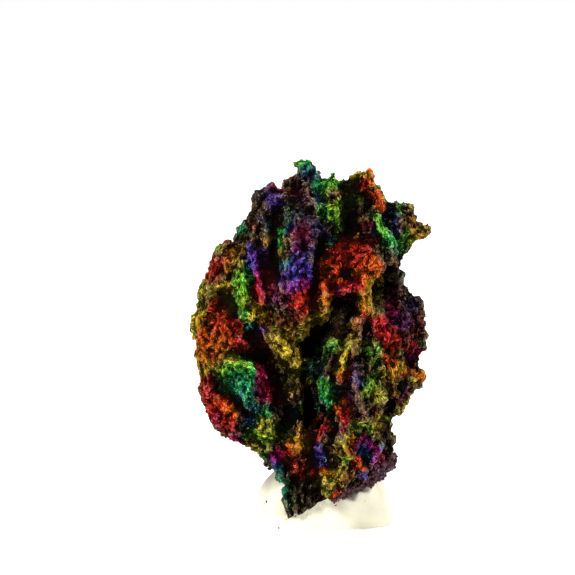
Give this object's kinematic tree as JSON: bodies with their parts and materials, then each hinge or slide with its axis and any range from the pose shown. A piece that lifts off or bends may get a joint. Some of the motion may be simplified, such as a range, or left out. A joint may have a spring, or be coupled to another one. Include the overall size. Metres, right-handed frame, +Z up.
{
  "type": "goethite specimen",
  "caption": "Spongy, iridescent goethite mass of upright fibrous lobes with deep clefts, standing in a lump of off-white mounting putty.",
  "frame": {"origin": "on the table, under the middle of the specimen's box", "axes": "+Z up along the growth, -Y out of the showy face, +X to the right of a viewer of that face"},
  "size_m": [0.0463, 0.0324, 0.0708],
  "materials": {
    "goethite": "spongy, fibrous brown-black iron oxide under a metallic tarnish film in patches of green, teal, blue, violet, magenta, red, orange and yellow",
    "putty": "matte off-white mounting putty with soft dents, a few knife lines and small dark crumbs"
  },
  "bodies": {
    "root": {"goethite": "goethite", "putty": "putty"}
  },
  "joints": []
}
